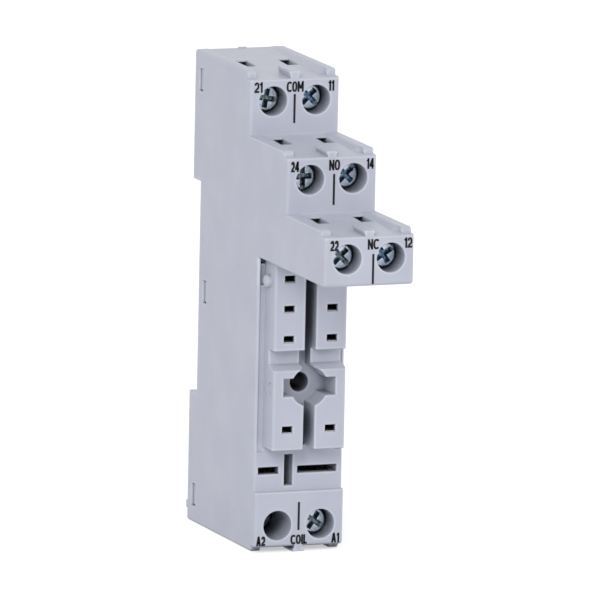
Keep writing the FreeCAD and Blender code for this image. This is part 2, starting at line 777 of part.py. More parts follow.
def cover_outline(gap="0"):
    """Side view of the rear cover, stepped round the rail. gap widens it, for its seat."""
    inner = "rear_reach - cover_thick"
    ledge = "notch_half + lip_drop"
    high = f"{BORE_TOP} + clamp_wide / 2 - clamp_gap + {gap}"
    low = f"{BORE_LOW} - clamp_wide / 2 + clamp_gap - {gap}"
    return [
        (f"rear_reach + {gap}", high),
        (f"{inner} - {gap}", high),
        (f"{inner} - {gap}", f"{ledge} + {gap}"),
        (f"-cover_thick - {gap}", f"{ledge} + {gap}"),
        (f"-cover_thick - {gap}", f"-({ledge}) - {gap}"),
        (f"{inner} - cover_thick - {gap}", f"-({ledge}) - {gap}"),
        (f"{inner} - cover_thick - {gap}", low),
        (f"rear_reach + {gap}", low),
        (f"rear_reach + {gap}", f"-notch_half + {gap}"),
        (f"{gap}", f"-notch_half + {gap}"),
        (f"{gap}", f"notch_half - {gap}"),
        (f"rear_reach + {gap}", f"notch_half - {gap}"),
    ]


def build_rear_cover():
    body = new_body("rear_cover")
    half = "(pitch / 2 + clamp_wide / 2 + clamp_gap - cover_gap)"
    profile = polygon(sketch_on(body, "YZ_Plane"), cover_outline())
    pad(body, profile, f"2 * {half}", middle=True)
    hook = sketch_on(body, "YZ_Plane")
    rectangle(
        hook, "rail_sheet", "rear_reach", "notch_half - lip_drop", "notch_half + lip_drop"
    )
    pad(body, hook, "hook_wide", middle=True)
    guide = sketch_on(body, "XY_Plane", "-notch_half")
    broad = "(clip_wide / 2 + clip_gap)"
    slim = f"({broad} - clip_draw)"
    floor = "rear_reach - clip_thick - 2 * clip_gap"
    polygon(
        guide,
        [
            (f"-{broad}", floor),
            (broad, floor),
            (slim, "rear_reach + clip_gap"),
            (f"-{slim}", "rear_reach + clip_gap"),
        ],
    )
    pocket(body, guide, "foot_depth - notch_half")
    relief = sketch_on(body, "XZ_Plane", "0")
    rectangle(relief, f"-{half}", half, "seat_half", "notch_half")
    rectangle(relief, f"-{half}", half, "-notch_half", "-seat_half")
    pocket(body, relief, "seat_relief", back=True)
    for front, middle in window_rows():
        for side in (1, -1):
            arm = sketch_on(body, "XY_Plane", f"{middle} - catch_tall / 2")
            root = f"{front} + catch_ahead + cover_thick / 2"
            nose = f"{half} + wall - catch_shy"
            tip = f"{front} - catch_wide + catch_gap"
            back = f"{front} + catch_gap"
            points = [
                (f"{half} - catch_arm", root),
                (f"{half} - catch_arm", tip),
                (f"{half} - catch_gap", tip),
                (nose, f"{back} - catch_wide / 3"),
                (nose, back),
                (f"{half} - catch_gap", back),
                (f"{half} - catch_gap", root),
            ]
            if side < 0:
                points = [(f"-({x})", y) for x, y in reversed(points)]
            polygon(arm, points)
            pad(body, arm, "catch_tall")
    hole = sketch_on(body, "XZ_Plane", "cover_thick + 1")
    circle(hole, "0", "-fixing_low", "fixing_radius")
    pocket(body, hole, "cover_thick + 2")
    return body


def build_rail_clip():
    """The sprung slide: a ramped nose for the rail, slim spring legs left by two slots,
    and a slot at its tail for a screwdriver."""
    body = new_body("rail_clip")
    side = sketch_on(body, "YZ_Plane")
    front = "rear_reach - clip_thick - clip_gap"
    back = "rear_reach - clip_gap"
    tail = "tail_rise - foot_depth"
    polygon(
        side,
        [
            (front, "-clip_nose"),
            (front, tail),
            (back, tail),
            (back, "-clip_nose - clip_ramp"),
            (f"{front} + nose_flat", "-clip_nose"),
        ],
    )
    pad(body, side, "clip_wide", middle=True)
    flanks = sketch_on(body, "XY_Plane", "-clip_nose + clip_gap")
    wide = "clip_wide / 2"
    for sign in (1, -1):
        points = [
            (wide, front),
            (f"{wide} + clip_gap", front),
            (f"{wide} + clip_gap", f"{back} + clip_gap"),
            (f"{wide} - clip_draw", f"{back} + clip_gap"),
            (f"{wide} - clip_draw", back),
        ]
        if sign < 0:
            points = [(f"-({x})", y) for x, y in reversed(points)]
        polygon(flanks, points)
    pocket(body, flanks, "foot_depth")
    slots = sketch_on(body, "XZ_Plane", "0")
    for sign in ("-", ""):
        inner = f"{sign}(clip_wide / 2 - leg_wide - leg_slit)"
        outer = f"{sign}(clip_wide / 2 - leg_wide)"
        left, right = (outer, inner) if sign else (inner, outer)
        rectangle(slots, left, right, f"{tail} + leg_margin", "-clip_nose - leg_margin")
    pry_low = f"{tail} + pry_tall"
    rectangle(slots, "-pry_wide / 2", "pry_wide / 2", pry_low, f"{pry_low} + pry_tall")
    pocket(body, slots, "rear_reach")
    return body


def place(body, across, along, upward, turn="0"):
    """Puts a body that was made at the origin at its own spot in the socket."""
    body.setExpression("Placement.Base.x", bound(across))
    body.setExpression("Placement.Base.y", bound(along))
    body.setExpression("Placement.Base.z", bound(upward))
    body.Placement.Rotation.Axis = FreeCAD.Vector(0, 1, 0)
    body.setExpression("Placement.Rotation.Axis.x", "0")
    body.setExpression("Placement.Rotation.Axis.y", "1")
    body.setExpression("Placement.Rotation.Axis.z", "0")
    body.setExpression("Placement.Rotation.Angle", bound(turn))


def build_screw(name, side, tier):
    """A pan head screw with a cross recess and a straight slot, and a pin at its tip that
    carries the pressure plate. The head's face is the plane Y = 0 of the body."""
    body = new_body(f"terminal_screw_{name}")
    profile = sketch_on(body, "XY_Plane")
    under = "head_tall"
    tip = "head_tall + shank_long"
    polygon(
        profile,
        [
            ("0", "0"),
            ("head_radius - head_bevel", "0"),
            ("head_radius", "head_edge"),
            ("head_radius", under),
            ("screw_radius", under),
            ("screw_radius", f"{tip} - tip_bevel"),
            ("screw_radius - tip_bevel", tip),
            ("pivot_pin", tip),
            ("pivot_pin", f"{tip} + plate_slack + plate_thick"),
            ("0", f"{tip} + plate_slack + plate_thick"),
        ],
    )
    turned = body.newObject("PartDesign::Revolution", "Revolution")
    turned.Profile = profile
    turned.ReferenceAxis = (profile, ["V_Axis"])
    turned.Angle = 360
    settle(body, turned, True)
    slot = sketch_on(body, "XZ_Plane", "clamp_gap")
    rectangle(slot, "-head_radius", "head_radius", "-drive_slot / 2", "drive_slot / 2")
    pocket(body, slot, "slot_deep + clamp_gap")
    cross = sketch_on(body, "XZ_Plane")
    arm, half = "drive_wing", "drive_wide / 2"
    quarter = [(arm, f"-{half}"), (arm, half), (half, half)]
    points = []
    for turn in range(4):
        for x, y in quarter:
            for _ in range(turn):
                x, y = f"-({y})", x
            points.append((x, y))
    polygon(cross, points)
    pocket(body, cross, "drive_deep", taper="-drive_draft")
    place(body, *seat_of(side, tier, f"depth_{name}"), turn=f"turn_{name}")
    return body


def seat_of(side, tier, depth):
    """The point on a terminal's screw axis that lies depth behind its front plane."""
    across = "pitch / 2" if side > 0 else "-pitch / 2"
    return across, f"-{tier['front']} + {depth}", tier["bore"]


def build_plate(name, side, tier):
    """The pressed plate on the screw's tip, with a shallow tunnel for the wire behind."""
    body = new_body(f"pressure_plate_{name}")
    half = "(clamp_wide / 2 - clamp_sheet - plate_gap)"
    outline = sketch_on(body, "XY_Plane")
    polygon(
        outline,
        [
            (f"-{half}", "0"),
            (half, "0"),
            (half, "plate_thick"),
            (f"{half} / 2", "plate_thick"),
            ("0", "plate_thick - tunnel"),
            (f"-{half} / 2", "plate_thick"),
            (f"-{half}", "plate_thick"),
        ],
    )
    pad(body, outline, "clamp_wide - 4 * plate_gap", middle=True)
    hole = sketch_on(body, "XZ_Plane")
    circle(hole, "0", "0", "pivot_pin + screw_gap")
    pocket(body, hole, "plate_thick")
    place(body, *seat_of(side, tier, f"depth_{name} + head_tall + shank_long + plate_slack"))
    return body


def build_clamp(name, side, tier):
    """A folded box, open upwards and downwards for wire and strip, with the screw's
    thread in its front wall."""
    body = new_body(f"clamp_box_{name}")
    half = "clamp_wide / 2"
    length = "clamp_nut + clamp_room + clamp_sheet"
    ring = rectangle(sketch_on(body, "XY_Plane"), f"-{half}", half, "0", length)
    pad(body, ring, "clamp_wide", middle=True)
    rounded(body, lambda edge: runs_along(edge, 2), "clamp_sheet / 2")
    inner = f"({half} - clamp_sheet)"
    room = sketch_on(body, "XY_Plane")
    rectangle(room, f"-{inner}", inner, "clamp_nut", "clamp_nut + clamp_room")
    pocket(body, room, "2 * clamp_wide", middle=True)
    thread = circle(sketch_on(body, "XZ_Plane"), "0", "0", "screw_radius + screw_gap")
    pocket(body, thread, "clamp_nut")
    place(body, *seat_of(side, tier, "clamp_start"))
    return body


# Where each tier's upright strip runs: its distance from the middle plane, and the corners
# of its side view. The strips of one column pass each other in three layers.
def strip_route(tier_name):
    tier = TIERS[tier_name]
    rear_wall = f"(-{tier['front']} + clamp_start + clamp_nut + clamp_room)"
    face = f"({rear_wall} - tongue)"
    row = f"({tier['row']})"
    half = "web_tall / 2"
    back = "-leaf_back"
    if tier_name == "com":
        low = f"{tier['bore']} - clamp_wide / 2 - clamp_gap"
        points = [
            (face, low),
            (f"{face} - web_tall", low),
            (f"{face} - web_tall", f"{row} + {half}"),
            (back, f"{row} + {half}"),
            (back, f"{row} - {half}"),
            (face, f"{row} - {half}"),
        ]
        return "layer_inner", points
    if tier_name == "no":
        low = f"{tier['bore']} - clamp_wide / 2 - clamp_gap"
        points = [
            (f"{face} + web_tall + tongue", low),
            (face, low),
            (face, f"{row} + {half}"),
            (back, f"{row} + {half}"),
            (back, f"{row} - {half}"),
            (f"{face} + web_tall + tongue", f"{row} - {half}"),
        ]
        return "layer_middle", points
    if tier_name == "nc":
        floor = "tier_under + skin + clamp_gap"
        start = f"{rear_wall} + clamp_sheet + clamp_gap"
        points = [
            (start, floor),
            (back, floor),
            (back, f"{row} - {half}"),
            (f"{back} + web_tall", f"{row} - {half}"),
            (f"{back} + web_tall", f"{floor} + web_tall"),
            (start, f"{floor} + web_tall"),
        ]
        return "layer_outer", points
    high = f"{tier['bore']} + clamp_wide / 2 + clamp_gap"
    points = [
        (face, high),
        (face, f"{row} + {half}"),
        (back, f"{row} + {half}"),
        (back, f"{row} - {half}"),
        (f"{face} - web_tall", f"{row} - {half}"),
        (f"{face} - web_tall", high),
    ]
    return "layer_middle", points


LAYERS = {
    "layer_inner": "(pitch / 2 - clamp_wide / 2 + clamp_gap)",
    "layer_middle": "(pitch / 2 - web / 2)",
    "layer_outer": "(pitch / 2 + clamp_wide / 2 - web)",
}


def fork_outline(back, row):
    """Two leaves that close to a throat and open to a mouth, joined at the back."""
    leaf_tips = [
        (back, "leaf_root"),
        (f"{back} - throat_ahead", "leaf_throat + leaf"),
        (f"{back} - leaf_long", "leaf_throat + leaf_flare + leaf"),
        (f"{back} - leaf_long", "leaf_throat + leaf_flare"),
        (f"{back} - throat_ahead", "leaf_throat"),
        (f"{back} - leaf", "leaf_root - leaf"),
    ]
    upper = [(y, f"{row} + {rise}") for y, rise in leaf_tips]
    lower = [(y, f"{row} - ({rise})") for y, rise in reversed(leaf_tips)]
    return upper + lower


def signed(side, text):
    return text if side > 0 else f"-({text})"


def span(sketch, side, near_x, far_x, low, high):
    """A rectangle between two distances from the middle plane, on one side of it."""
    left, right = (near_x, far_x) if side > 0 else (f"-({far_x})", f"-({near_x})")
    return rectangle(sketch, left, right, low, high)


def build_strip(name, side, tier_name):
    """A stamped strip: the tongue in the clamp, the upright web beside the middle wall,
    the middle of the chamber or the side wall, and the fork that takes the relay's blade."""
    body = new_body(f"contact_strip_{name}")
    tier = TIERS[tier_name]
    layer, points = strip_route(tier_name)
    near_x = LAYERS[layer]
    start = near_x if side > 0 else f"-({near_x} + web)"
    web = polygon(sketch_on(body, "YZ_Plane", start), points)
    pad(body, web, "web")
    rear_wall = f"(-{tier['front']} + clamp_start + clamp_nut + clamp_room)"
    edge = "pitch / 2 + tongue_wide / 2"
    inner = "pitch / 2 - tongue_wide / 2"
    tongue = sketch_on(body, "XZ_Plane", f"-({rear_wall})")
    reach = "clamp_wide / 2"
    if tier_name == "nc":
        floor = "tier_under + skin + clamp_gap"
        span(tongue, side, inner, edge, floor, f"{tier['bore']} + {reach}")
        foot = sketch_on(body, "XY_Plane", floor)
        span(
            foot,
            side,
            inner,
            f"{near_x} + web",
            f"{rear_wall} - tongue",
            f"{rear_wall} + clamp_sheet + web_tall",
        )
        pad(body, foot, "tongue")
    elif tier["up"] > 0:
        low = f"{tier['bore']} - {reach} - web_tall"
        near_edge = near_x if layer == "layer_inner" else inner
        span(tongue, side, inner, edge, low, f"{tier['bore']} + {reach}")
        if layer == "layer_inner":
            bridge = sketch_on(body, "XZ_Plane", f"-({rear_wall})")
            span(bridge, side, near_edge, inner, low, f"{low} + web_tall - clamp_gap")
            pad(body, bridge, "tongue")
    else:
        high = f"{tier['bore']} + {reach} + web_tall"
        span(tongue, side, inner, edge, f"{tier['bore']} - {reach}", high)
    pad(body, tongue, "tongue")
    row = f"({tier['row']})"
    base = sketch_on(body, "XZ_Plane", "leaf_back")
    leaf_near, leaf_far = "pitch / 2 - leaf_wide / 2", "pitch / 2 + leaf_wide / 2"
    left = near_x if layer == "layer_inner" else leaf_near
    right = f"{near_x} + web" if layer == "layer_outer" else leaf_far
    span(base, side, left, right, f"{row} - web_tall / 2", f"{row} + web_tall / 2")
    pad(body, base, "leaf")
    fork = sketch_on(body, "YZ_Plane", signed(side, leaf_near))
    polygon(fork, fork_outline("-leaf_back", row))
    pad(body, fork, "leaf_wide", back=side < 0)
    return body


def build_module_contact(name, side):
    """The leaf contact behind a module slot, lying against the coil strip's web."""
    body = new_body(f"module_contact_{name}")
    row = "-module_low"
    back = "(-front_main + front_wall + leaf_long)"
    near_x = f"({LAYERS['layer_middle']} + web)"
    fork = sketch_on(body, "YZ_Plane", signed(side, near_x))
    polygon(fork, fork_outline(back, row))
    pad(body, fork, "leaf_wide / 2", back=side < 0)
    coil = TIERS["coil"]
    strip_back = f"(-{coil['front']} + clamp_start + clamp_nut + clamp_room - tongue)"
    tail = sketch_on(body, "YZ_Plane", signed(side, near_x))
    rectangle(tail, f"{back} - leaf", strip_back, f"{row} - leaf_throat", f"{row} + leaf")
    pad(body, tail, "tongue", back=side < 0)
    return body


def check_and_write(bodies):
    """Stops at any failed object or shape, then writes one file for each piece."""
    doc.recompute()
    for item in doc.Objects:
        if {"Invalid", "Error"} & set(item.State):
            raise RuntimeError(f"{item.Label} ({item.Name}) failed: {item.State}")
    os.makedirs("parts", exist_ok=True)
    for body in bodies:
        shape = body.Shape
        if shape.isNull() or not shape.isValid():
            raise RuntimeError(f"{body.Label} has no valid shape")
        if len(shape.Solids) != 1:
            raise RuntimeError(f"{body.Label} is {len(shape.Solids)} solids")
        shape.exportStep(f"parts/{body.Label}.step")
        box = shape.BoundBox
        low = f"{box.XMin:.2f} {box.YMin:.2f} {box.ZMin:.2f}"
        high = f"{box.XMax:.2f} {box.YMax:.2f} {box.ZMax:.2f}"
        print(f"{body.Label}: {shape.Volume:.2f} mm3, {low} to {high}")


def build_socket():
    fill_sheet()
    bodies = [build_housing(), build_rear_cover(), build_rail_clip()]
    for name, side, tier_name in TERMINALS:
        tier = TIERS[tier_name]
        bodies.append(build_screw(name, side, tier))
        bodies.append(build_plate(name, side, tier))
        bodies.append(build_clamp(name, side, tier))
        bodies.append(build_strip(name, side, tier_name))
    bodies.append(build_module_contact("a2", -1))
    bodies.append(build_module_contact("a1", 1))
    check_and_write(bodies)


build_socket()
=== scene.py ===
# %% [markdown]
# # A relay socket for a 35 mm rail
#
# The shapes of this part are already made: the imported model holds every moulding, screw,
# clamp and strip at its real size. This lesson gives them their finishes, softens the
# rims, prints the terminal numbers on the fronts, and sets up a plain studio. The frame
# comes in first, because every later piece is placed on it.

import json
import math

import bmesh
import bpy
import numpy as np
from mathutils import Matrix, Vector


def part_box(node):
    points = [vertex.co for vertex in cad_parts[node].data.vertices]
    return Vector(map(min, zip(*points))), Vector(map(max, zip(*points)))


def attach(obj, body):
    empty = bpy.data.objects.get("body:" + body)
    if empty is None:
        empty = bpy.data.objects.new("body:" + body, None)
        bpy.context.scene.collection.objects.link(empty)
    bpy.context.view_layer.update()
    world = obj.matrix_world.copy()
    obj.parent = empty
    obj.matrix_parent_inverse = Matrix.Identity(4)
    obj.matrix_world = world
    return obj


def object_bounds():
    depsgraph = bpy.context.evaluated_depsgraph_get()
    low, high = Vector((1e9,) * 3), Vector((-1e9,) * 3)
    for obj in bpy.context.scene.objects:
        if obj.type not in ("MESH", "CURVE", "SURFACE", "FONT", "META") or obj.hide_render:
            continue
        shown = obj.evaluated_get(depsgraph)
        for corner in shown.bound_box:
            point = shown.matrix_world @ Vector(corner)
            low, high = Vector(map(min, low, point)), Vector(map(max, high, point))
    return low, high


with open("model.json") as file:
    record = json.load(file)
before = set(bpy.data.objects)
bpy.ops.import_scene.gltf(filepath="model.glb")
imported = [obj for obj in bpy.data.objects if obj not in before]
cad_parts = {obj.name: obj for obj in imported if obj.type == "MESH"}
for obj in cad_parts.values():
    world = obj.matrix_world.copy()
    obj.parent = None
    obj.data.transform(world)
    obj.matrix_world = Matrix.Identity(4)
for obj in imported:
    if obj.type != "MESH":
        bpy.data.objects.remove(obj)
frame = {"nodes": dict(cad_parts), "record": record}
cad_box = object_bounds()
MM = 0.001


# %% [markdown]
# ## Colours
#
# Paint charts and photographs give colours as sRGB hex values, but a shader works in
# linear light. One function turns the first into the second, so that every colour below
# can be written the way a picture editor shows it.

# %% Turn an sRGB hex value to linear light
def linear(hex_value):
    """Each channel c: c / 12.92 below 0.04045, else ((c + 0.055) / 1.055) to the 2.4."""
    channels = [int(hex_value[i:i + 2], 16) / 255 for i in (1, 3, 5)]
    low = [c / 12.92 for c in channels]
    high = [((c + 0.055) / 1.055) ** 2.4 for c in channels]
    return [a if c <= 0.04045 else b for c, a, b in zip(channels, low, high)] + [1.0]


print("a middle grey, #808080, is", round(linear("#808080")[0], 3), "in linear light")


# %% [markdown]
# ## Camera
#
# A product shot like this one is taken from far away with a long lens, which keeps
# upright edges nearly parallel. The camera stands in front of the socket and a little to
# its left, looks slightly down, and is rolled by about one degree. Its three axes are
# worked out from those angles, and its place from a point on the socket by so many
# millimetres along each axis, nearly all of them back along the view.

# %% Place the camera
YAW, PITCH, ROLL = (math.radians(angle) for angle in (21.032, 9.879, -1.175))
FOCAL_PIXELS = 14781.0
PICTURE_PIXELS = 600
SENSOR = 36.0
FROM_TARGET = Vector((-1.419, 21.021, -2414.51))    # along right, up and forward
TARGET = Vector((0, -31.6, -18.44))                 # on the front of the contact blocks

forward = Vector((
    math.cos(PITCH) * math.sin(YAW), math.cos(PITCH) * math.cos(YAW), -math.sin(PITCH)
))
level_right = Vector((math.cos(YAW), -math.sin(YAW), 0))
level_up = level_right.cross(forward)
right = math.cos(ROLL) * level_right - math.sin(ROLL) * level_up
up = math.sin(ROLL) * level_right + math.cos(ROLL) * level_up
eye = (right * FROM_TARGET.x + up * FROM_TARGET.y + forward * FROM_TARGET.z + TARGET) * MM
turn = Matrix((right, up, -forward)).transposed().to_4x4()

camera_data = bpy.data.cameras.new("camera")
camera_data.sensor_width = SENSOR
camera_data.lens = FOCAL_PIXELS / PICTURE_PIXELS * SENSOR
camera_data.clip_start = 0.1
camera_data.clip_end = 50
camera = bpy.data.objects.new("camera", camera_data)
camera.matrix_world = Matrix.Translation(eye) @ turn
bpy.context.scene.collection.objects.link(camera)
bpy.context.scene.camera = camera
print("camera at", [round(v, 3) for v in eye], "lens", round(camera_data.lens, 1), "mm")


# %% [markdown]
# ## Nodes
#
# Shader graphs are short lists of the same step: add a node, set some values, and join
# some sockets. One small function does that step, so each finish below reads as a recipe.

# %% Add a shader node with its settings and links
def add_node(tree, kind, settings=None, **links):
    """Adds a node. settings are its own properties, its sockets' values, or the stops of a
    colour ramp, each a place and a hex value. links join an input, named with underscores
    for spaces or by its number as _0 or _1, to another node's output socket."""
    node = tree.nodes.new(kind)
    for key, setting in (settings or {}).items():
        if key == "stops":
            for stop, (position, hex_value) in zip(node.color_ramp.elements, setting):
                stop.position, stop.color = position, linear(hex_value)
        elif hasattr(node, key):
            setattr(node, key, setting)
        else:
            node.inputs[key].default_value = setting
    for key, source in links.items():
        number = key[1:]
        socket = node.inputs[int(number) if number.isdigit() else key.replace("_", " ")]
        tree.links.new(source, socket)
    return node


def new_material(name):
    """An empty material and its node tree."""
    material = bpy.data.materials.new(name)
    material.use_nodes = True
    material.node_tree.nodes.clear()
    return material, material.node_tree


# %% [markdown]
# ## Studio
#
# A white sweep would bounce light from everywhere, and a bright background is easily
# bought with too much light. Here the floor is a pale matt sheet that adds its white only
# for what the camera and shiny surfaces see, so it stays white while the lamps are mild,
# and the socket still leaves its soft shadow on it. The room behind it does the same.

# %% What the camera and shiny surfaces see
WHITE = (1, 1, 1, 1)


def seen_directly(tree):
    """1 for a ray from the camera or off a shiny surface, whichever is larger, else 0."""
    path = add_node(tree, "ShaderNodeLightPath")
    return add_node(tree, "ShaderNodeMath", {"operation": "MAXIMUM"},
                    _0=path.outputs["Is Camera Ray"], _1=path.outputs["Is Glossy Ray"])


# %% [markdown]
# ### Floor
#
# The socket stands on the sheet, so the sheet lies at the bottom of the part's own box.

# %% Pale matt paper
FLOOR_SIDE = 6.0            # metres
FLOOR_GLOW = 0.5            # added where it is seen directly

floor_height = cad_box[0][2]
corners = FLOOR_SIDE / 2 * np.array([(-1, -1), (1, -1), (1, 1), (-1, 1)])
floor_points = np.column_stack([corners, np.full(4, floor_height)])
floor_mesh = bpy.data.meshes.new("floor")
floor_mesh.from_pydata(floor_points.tolist(), [], [(0, 1, 2, 3)])
floor = bpy.data.objects.new("floor", floor_mesh)
bpy.context.scene.collection.objects.link(floor)

paper, tree = new_material("pale_matt_paper")
added = add_node(tree, "ShaderNodeMath", {"operation": "MULTIPLY", "use_clamp": True},
                 _0=seen_directly(tree).outputs[0])
added.inputs[1].default_value = FLOOR_GLOW
matt = add_node(tree, "ShaderNodeBsdfDiffuse", {"Color": linear("#E6E7EA")})
glow = add_node(tree, "ShaderNodeEmission", {"Color": WHITE}, Strength=added.outputs[0])
both = add_node(tree, "ShaderNodeAddShader", _0=matt.outputs[0], _1=glow.outputs[0])
add_node(tree, "ShaderNodeOutputMaterial", Surface=both.outputs[0])
floor_mesh.materials.append(paper)
print("floor at", round(floor_height, 4), "m")


# %% [markdown]
# ### Room
#
# The room's own light is a soft grey-white from all sides, which fills the shadows. Seen
# directly it is plain white, with a strength of 1.

# %% World
ROOM_STRENGTH = 0.70

world = bpy.data.worlds.new("studio")
bpy.context.scene.world = world
world.use_nodes = True
tree = world.node_tree
tree.nodes.clear()
room = add_node(tree, "ShaderNodeBackground",
                {"Color": linear("#F1F2F5"), "Strength": ROOM_STRENGTH})
white = add_node(tree, "ShaderNodeBackground", {"Color": WHITE, "Strength": 1.0})
mixed = add_node(tree, "ShaderNodeMixShader", _0=seen_directly(tree).outputs[0],
                 _1=room.outputs[0], _2=white.outputs[0])
add_node(tree, "ShaderNodeOutputWorld", Surface=mixed.outputs[0])
print("room strength", ROOM_STRENGTH)


# %% [markdown]
# ### Lamps
#
# Two soft boxes are enough for such a small thing: a strong one from the front left, which
# the fronts face, and a weak one from the right, which keeps the right side and the
# left-hand walls of the bores from going black.

# %% Soft boxes
SOCKET_MIDDLE = Vector((0, -0.02, 0))
SOFT_BOXES = {              # place in metres, side in metres, power in watts
    "lamp_key": ((-0.6, -0.9, 0.6), 0.5, 5.3),
    "lamp_right": ((0.85, -0.7, 0.5), 0.6, 1.9),
}

for name, (place, side, power) in SOFT_BOXES.items():
    data = bpy.data.lights.new(name, "AREA")
    data.shape = "SQUARE"
    data.size = side
    data.energy = power
    lamp = bpy.data.objects.new(name, data)
    lamp.location = place
    aim = SOCKET_MIDDLE - Vector(place)
    lamp.rotation_euler = aim.to_track_quat("-Z", "Y").to_euler()
    bpy.context.scene.collection.objects.link(lamp)

bpy.context.scene.view_settings.view_transform = "Standard"
print("lamps:", ", ".join(SOFT_BOXES))


# %% [markdown]
# ## Moulded housing
#
# The housing is injection moulded from a glass-filled engineering plastic, in a mould
# whose walls were spark eroded. That leaves a satin skin: a fine pebble that spreads the
# highlights, with the colour a touch uneven where the melt ran. Two things change that
# skin from place to place, and each has its own short recipe first.
#
# Deep in the bores and slots hardly any light comes back out, and the skin gets painted shade
# there. The Ambient Occlusion node tells how much of its surroundings a point can see, and
# where that is little the colour goes deeper.

# %% How much painted shade a deep point gets
LOOKS = 8                   # rays that a Bevel or Ambient Occlusion node sends out


def painted_shade_ramp(tree, reach, open_share, most, ramp="LINEAR"):
    """How much painted shade a point gets: most where less than open_share[0] of the
    surroundings within reach is open, 0 where more than open_share[1] is, and a ramp between."""
    around = add_node(tree, "ShaderNodeAmbientOcclusion", {"samples": LOOKS, "Distance": reach})
    return add_node(tree, "ShaderNodeMapRange",
                    {"interpolation_type": ramp, "From Min": open_share[0],
                     "From Max": open_share[1], "To Min": most, "To Max": 0.0},
                    Value=around.outputs["AO"])


# %% [markdown]
# ### Edges
#
# The edges of a moulding get a painted highlight, the upright ones most: a paler colour where
# a lamp would glint on the rounded edge. A second Ambient Occlusion node looks into the body
# instead of out of it: close to an outer edge it finds the next face at once. The rounded
# normal of the edge says how upright it is, because on an upright edge it has next to no
# height.

# %% Where the edges get a painted highlight
HIGHLIGHT_BAND = 0.55 * MM       # how far from an edge the painted highlight reaches
HIGHLIGHT_SHARE = (0.92, 0.5)    # free share of the inside, from no painted highlight to the full one
HIGHLIGHT_TILT = (0.1, 0.5)      # height of the normal, from an upright edge to a level one
LEVEL_HIGHLIGHT = 0.15         # what a level edge has of an upright one's painted highlight


def painted_edge_highlight(tree, normal, painted_highlight):
    """The painted edge highlight: its strength * ramp(inside occlusion) * ramp(|height of the
    normal|).
    """
    inner = add_node(tree, "ShaderNodeAmbientOcclusion",
                     {"samples": LOOKS, "inside": True, "Distance": HIGHLIGHT_BAND})
    edge_closeness = add_node(tree, "ShaderNodeMapRange",
                      {"From Min": HIGHLIGHT_SHARE[0], "From Max": HIGHLIGHT_SHARE[1], "To Max": painted_highlight},
                      Value=inner.outputs["AO"])
    facing = add_node(tree, "ShaderNodeSeparateXYZ", Vector=normal)
    tilt = add_node(tree, "ShaderNodeMath", {"operation": "ABSOLUTE"}, _0=facing.outputs["Z"])
    upright = add_node(tree, "ShaderNodeMapRange",
                       {"From Min": HIGHLIGHT_TILT[0], "From Max": HIGHLIGHT_TILT[1],
                        "To Min": 1.0, "To Max": LEVEL_HIGHLIGHT}, Value=tilt.outputs[0])
    return add_node(tree, "ShaderNodeMath", {"operation": "MULTIPLY"},
                    _0=edge_closeness.outputs[0], _1=upright.outputs[0])


# %% [markdown]
# ### The plastic itself
#
# Noise at two sizes makes the skin, wide for the melt and fine for the pebble. A moulded
# edge is never knife sharp, so the Bevel node turns the shading normal within four tenths
# of a millimetre of each edge, with the mesh left as it is. Cover and clip come from
# other moulds and materials, and are a little darker. The soft rims, which come later, are
# the housing's plastic without the painted edge highlight.

# %% Satin moulded plastic
MELT_FLOW = 9.0 * MM
PEBBLE = 0.30 * MM          # the real pebble is nearer 0.1 mm, too fine for the picture
PEBBLE_RELIEF = 0.03 * MM
GLOSS_SPREAD = (-0.05, 0.07)    # what the pebble adds to the roughness
EDGE_ROUND = 0.4 * MM
# The colour of the painted edge highlight.
EDGE_HIGHLIGHT_COLOUR = "#DCDFE8"
# Painted shade in the depths: how far to look, how open a point must be, how much, what colour.
SHADE_REACH = 5.0 * MM       # as wide as a screw bore
SHADE_OPEN_SHARE = (0.04, 0.46)   # open share, from the darkest skin to the clean one
SHADE_MOST = 0.97
PAINTED_SHADE_COLOUR = "#18202F"


